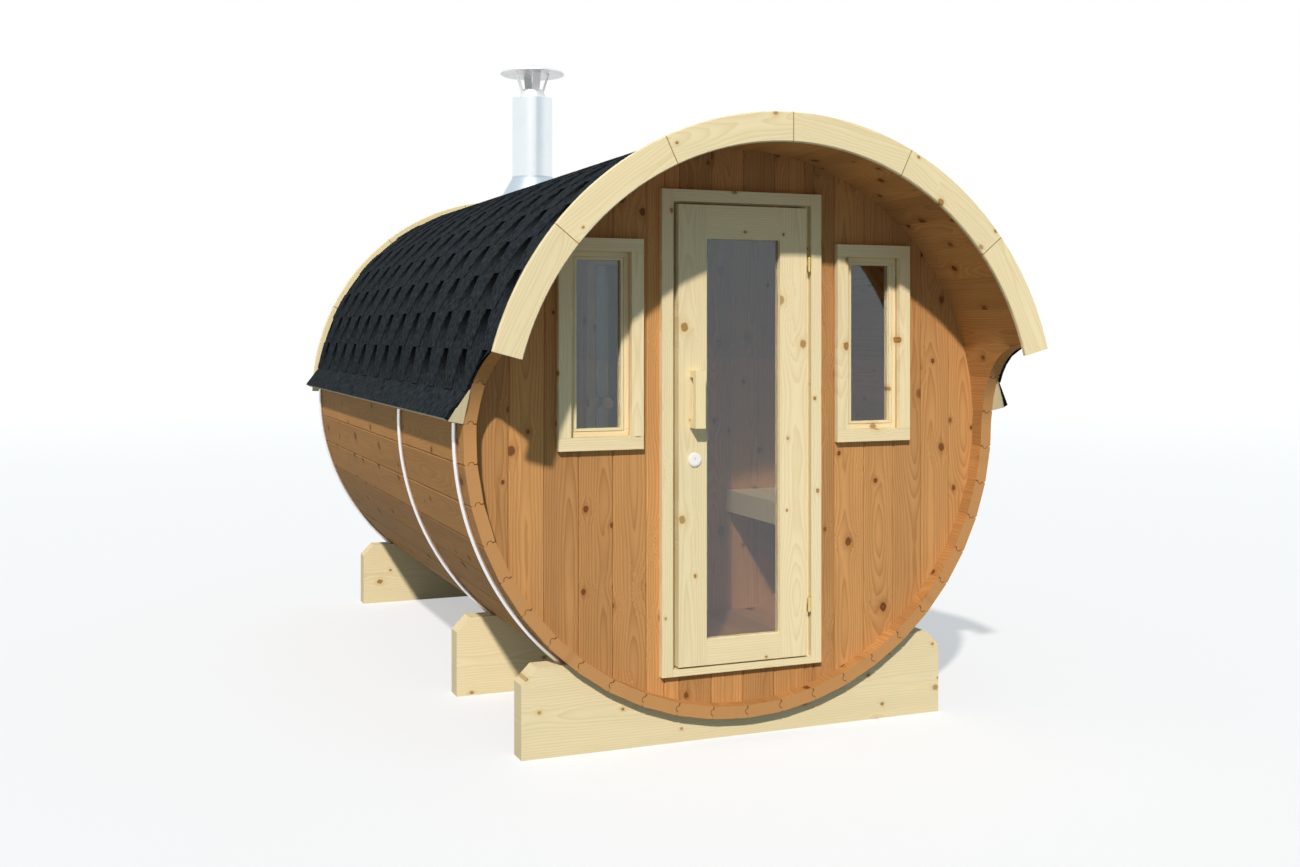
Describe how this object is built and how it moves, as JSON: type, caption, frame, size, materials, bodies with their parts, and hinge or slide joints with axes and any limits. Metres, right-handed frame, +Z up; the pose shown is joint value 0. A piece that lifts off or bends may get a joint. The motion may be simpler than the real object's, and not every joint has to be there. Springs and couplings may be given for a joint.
{
  "type": "barrel sauna",
  "caption": "Barrel sauna of wooden staves on cradles, with a shingled roof, arched porch, glazed door, slim windows, front room with bench, glass inner door and steel chimney.",
  "frame": {"origin": "on the ground below the middle of the barrel", "axes": "X to the right seen from the door, Y from the door to the rear, Z up"},
  "size_m": [2.1034, 3.3, 2.715],
  "materials": {
    "heat_treated_wood": "warm brown planed softwood with dark knots, matt",
    "pale_spruce": "pale planed spruce with amber knots, matt",
    "shingle_felt": "blue-black mineral felt shingles, rough",
    "bright_steel": "bright plain stainless steel",
    "tinted_glass": "grey tinted clear glass",
    "brass": "polished brass",
    "white_rosette": "white lacquered"
  },
  "bodies": {
    "shell": {"cradle_front": "pale_spruce", "cradle_middle": "pale_spruce", "cradle_rear": "pale_spruce", "staves_floor": "heat_treated_wood", "staves_lower_right": "heat_treated_wood", "staves_lower_left": "heat_treated_wood", "staves_side_right": "heat_treated_wood", "staves_side_left": "heat_treated_wood", "staves_upper_right": "heat_treated_wood", "staves_upper_left": "heat_treated_wood", "staves_ridge": "heat_treated_wood", "hoops": "bright_steel", "front_wall_left": "heat_treated_wood", "front_wall_right": "heat_treated_wood", "front_wall_middle": "heat_treated_wood", "rear_wall": "heat_treated_wood", "partition_left": "heat_treated_wood", "partition_right": "heat_treated_wood", "partition_head": "heat_treated_wood", "inner_door_frame": "pale_spruce", "floor_boards": "heat_treated_wood", "bench_top": "pale_spruce", "bench_front": "pale_spruce", "front_arch": "pale_spruce", "rear_arch": "pale_spruce", "shingles_left": "shingle_felt", "shingles_right": "shingle_felt", "eave_batten_left": "pale_spruce", "eave_batten_right": "pale_spruce", "chimney_pipe": "bright_steel", "chimney_flashing": "bright_steel", "rain_cap": "bright_steel", "window_left_casing": "pale_spruce", "window_left_sash": "pale_spruce", "window_left_glass": "tinted_glass", "window_right_casing": "pale_spruce", "window_right_sash": "pale_spruce", "window_right_glass": "tinted_glass", "door_casing": "pale_spruce", "door_jamb": "pale_spruce", "hinge_pins": "brass", "inner_hinge_pins": "bright_steel"},
    "door": {"door_leaf": "pale_spruce", "door_glass": "tinted_glass", "door_handle": "pale_spruce", "door_lock": "white_rosette", "hinge_knuckles": "brass"},
    "inner_door": {"inner_door_glass": "tinted_glass", "inner_door_knob": "pale_spruce", "inner_hinge_clamps": "bright_steel"}
  },
  "joints": [
    {"name": "door_hinge", "type": "hinge", "parent": "shell", "child": "door", "pos_m": [0.2505, -1.291, 1.02], "axis": [0, 0, 1], "range_deg": [0, 105]},
    {"name": "inner_door_hinge", "type": "hinge", "parent": "shell", "child": "inner_door", "pos_m": [0.22275, -0.426, 0.95], "axis": [0, 0, 1], "range_deg": [0, 90]}
  ]
}
